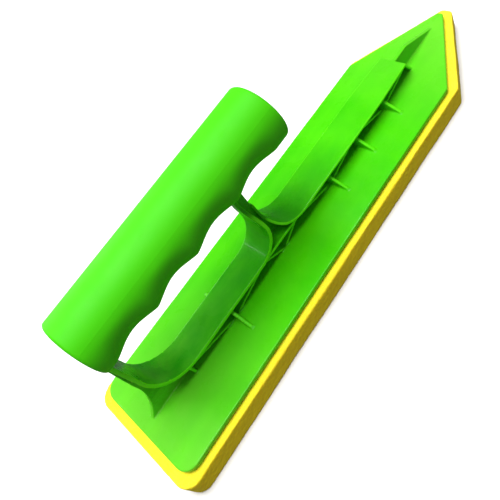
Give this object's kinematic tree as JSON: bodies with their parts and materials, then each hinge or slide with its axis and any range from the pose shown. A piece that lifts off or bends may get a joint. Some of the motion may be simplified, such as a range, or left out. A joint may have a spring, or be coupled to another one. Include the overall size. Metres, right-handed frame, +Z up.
{
  "type": "grout float",
  "caption": "Pointed hand float: ribbed green plastic blade with two arms and a finger-grooved grip, over a bonded yellow foam pad.",
  "frame": {"origin": "centre of the float's box on the working face, the underside of the foam pad", "axes": "+X along the blade towards the point, +Y to the left of someone pushing it forwards, +Z up from the pad to the grip"},
  "size_m": [0.3104, 0.0802, 0.107],
  "materials": {
    "foam": "open-cell sponge with a cut, porous surface",
    "adhesive": "thin translucent film",
    "blade_plastic": "smooth moulded, slightly translucent",
    "grip_plastic": "satin moulded"
  },
  "bodies": {
    "root": {"foam_pad": "foam", "adhesive_film": "adhesive", "blade_moulding": "blade_plastic", "grip": "grip_plastic"}
  },
  "joints": []
}
